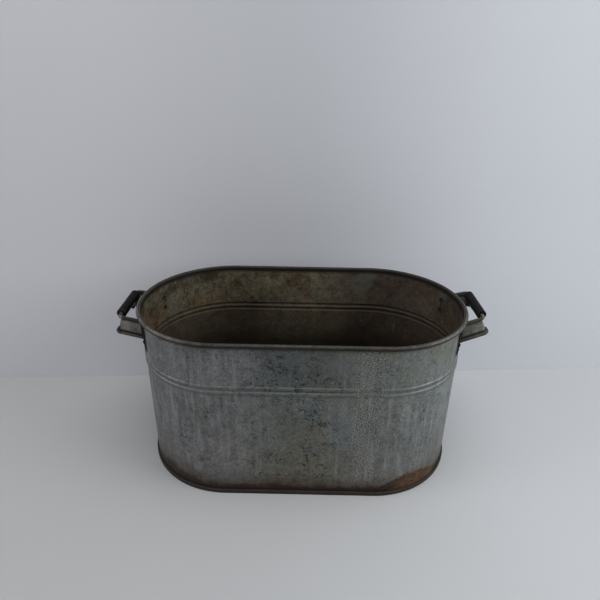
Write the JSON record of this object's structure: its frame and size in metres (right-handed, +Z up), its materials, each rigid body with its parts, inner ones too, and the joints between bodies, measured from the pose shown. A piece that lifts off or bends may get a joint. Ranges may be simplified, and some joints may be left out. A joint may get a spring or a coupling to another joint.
{
  "type": "galvanized tub",
  "caption": "Deep oval galvanized steel tub with straight sides, rolled rim, swaged beads round the wall and a riveted end handle with a turned wooden grip at each end.",
  "frame": {"origin": "centre of the footprint, on the floor plane that the bottom seam rests on", "axes": "+X along the tub's length from the left handle to the right handle, +Y across it from the lock-seam side to the far side, +Z up"},
  "size_m": [0.628, 0.3102, 0.3073],
  "materials": {
    "tub_zinc": "dull weathered zinc with rust spots",
    "bottom_zinc": "dull weathered zinc with rust at the seam",
    "bracket_zinc": "dull weathered zinc",
    "wire_steel": "plain drawn wire, dull",
    "rivet_steel": "dull zinc",
    "grip_wood": "worn black paint on turned wood"
  },
  "bodies": {
    "tub": {"body_sheet": "tub_zinc", "bottom_pan": "bottom_zinc", "rim_wire": "wire_steel", "left_front_bracket": "bracket_zinc", "left_rear_bracket": "bracket_zinc", "right_front_bracket": "bracket_zinc", "right_rear_bracket": "bracket_zinc", "left_handle_wire": "wire_steel", "right_handle_wire": "wire_steel", "left_front_rivets": "rivet_steel", "left_rear_rivets": "rivet_steel", "right_front_rivets": "rivet_steel", "right_rear_rivets": "rivet_steel"},
    "left_grip_body": {"left_grip": "grip_wood"},
    "right_grip_body": {"right_grip": "grip_wood"}
  },
  "joints": [
    {"name": "left_grip_turn", "type": "hinge", "parent": "tub", "child": "left_grip_body", "pos_m": [-0.30422, 0, 0.2889], "axis": [0, 1, 0], "continuous": true},
    {"name": "right_grip_turn", "type": "hinge", "parent": "tub", "child": "right_grip_body", "pos_m": [0.3003, 0, 0.29929], "axis": [0, 1, 0], "continuous": true}
  ]
}
